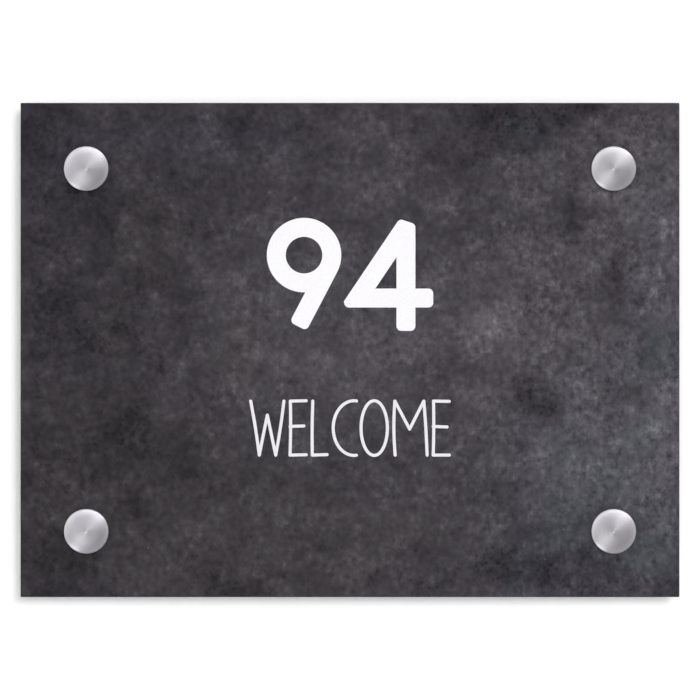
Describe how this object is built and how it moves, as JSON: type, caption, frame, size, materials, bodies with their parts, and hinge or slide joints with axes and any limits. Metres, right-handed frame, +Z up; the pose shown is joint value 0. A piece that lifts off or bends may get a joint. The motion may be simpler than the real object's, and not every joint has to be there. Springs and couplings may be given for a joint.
{
  "type": "door name plate",
  "caption": "Rectangular printed door name plate carried off the wall by a round turned stand-off in each corner.",
  "frame": {"origin": "on the wall plane, midway between the four wall fixings and so behind the middle of the plate", "axes": "+X to the right and +Z up as the plate hangs, +Y into the wall; the printed face looks towards -Y"},
  "size_m": [0.2, 0.0476, 0.15],
  "materials": {
    "printed_sheet": "matt print of dark concrete with a white number and line, on a rigid sheet",
    "turned_steel": "fine concentric turning marks on the face, satin sides",
    "clear_washer": "clear, slightly milky",
    "zinc_screw": "bright zinc plate"
  },
  "bodies": {
    "root": {"name_plate": "printed_sheet", "standoff_cap_top_left": "turned_steel", "standoff_cap_top_right": "turned_steel", "standoff_cap_bottom_left": "turned_steel", "standoff_cap_bottom_right": "turned_steel", "standoff_barrel_top_left": "turned_steel", "standoff_barrel_top_right": "turned_steel", "standoff_barrel_bottom_left": "turned_steel", "standoff_barrel_bottom_right": "turned_steel", "front_washer_top_left": "clear_washer", "front_washer_top_right": "clear_washer", "front_washer_bottom_left": "clear_washer", "front_washer_bottom_right": "clear_washer", "rear_washer_top_left": "clear_washer", "rear_washer_top_right": "clear_washer", "rear_washer_bottom_left": "clear_washer", "rear_washer_bottom_right": "clear_washer", "wall_screws": "zinc_screw"}
  },
  "joints": []
}
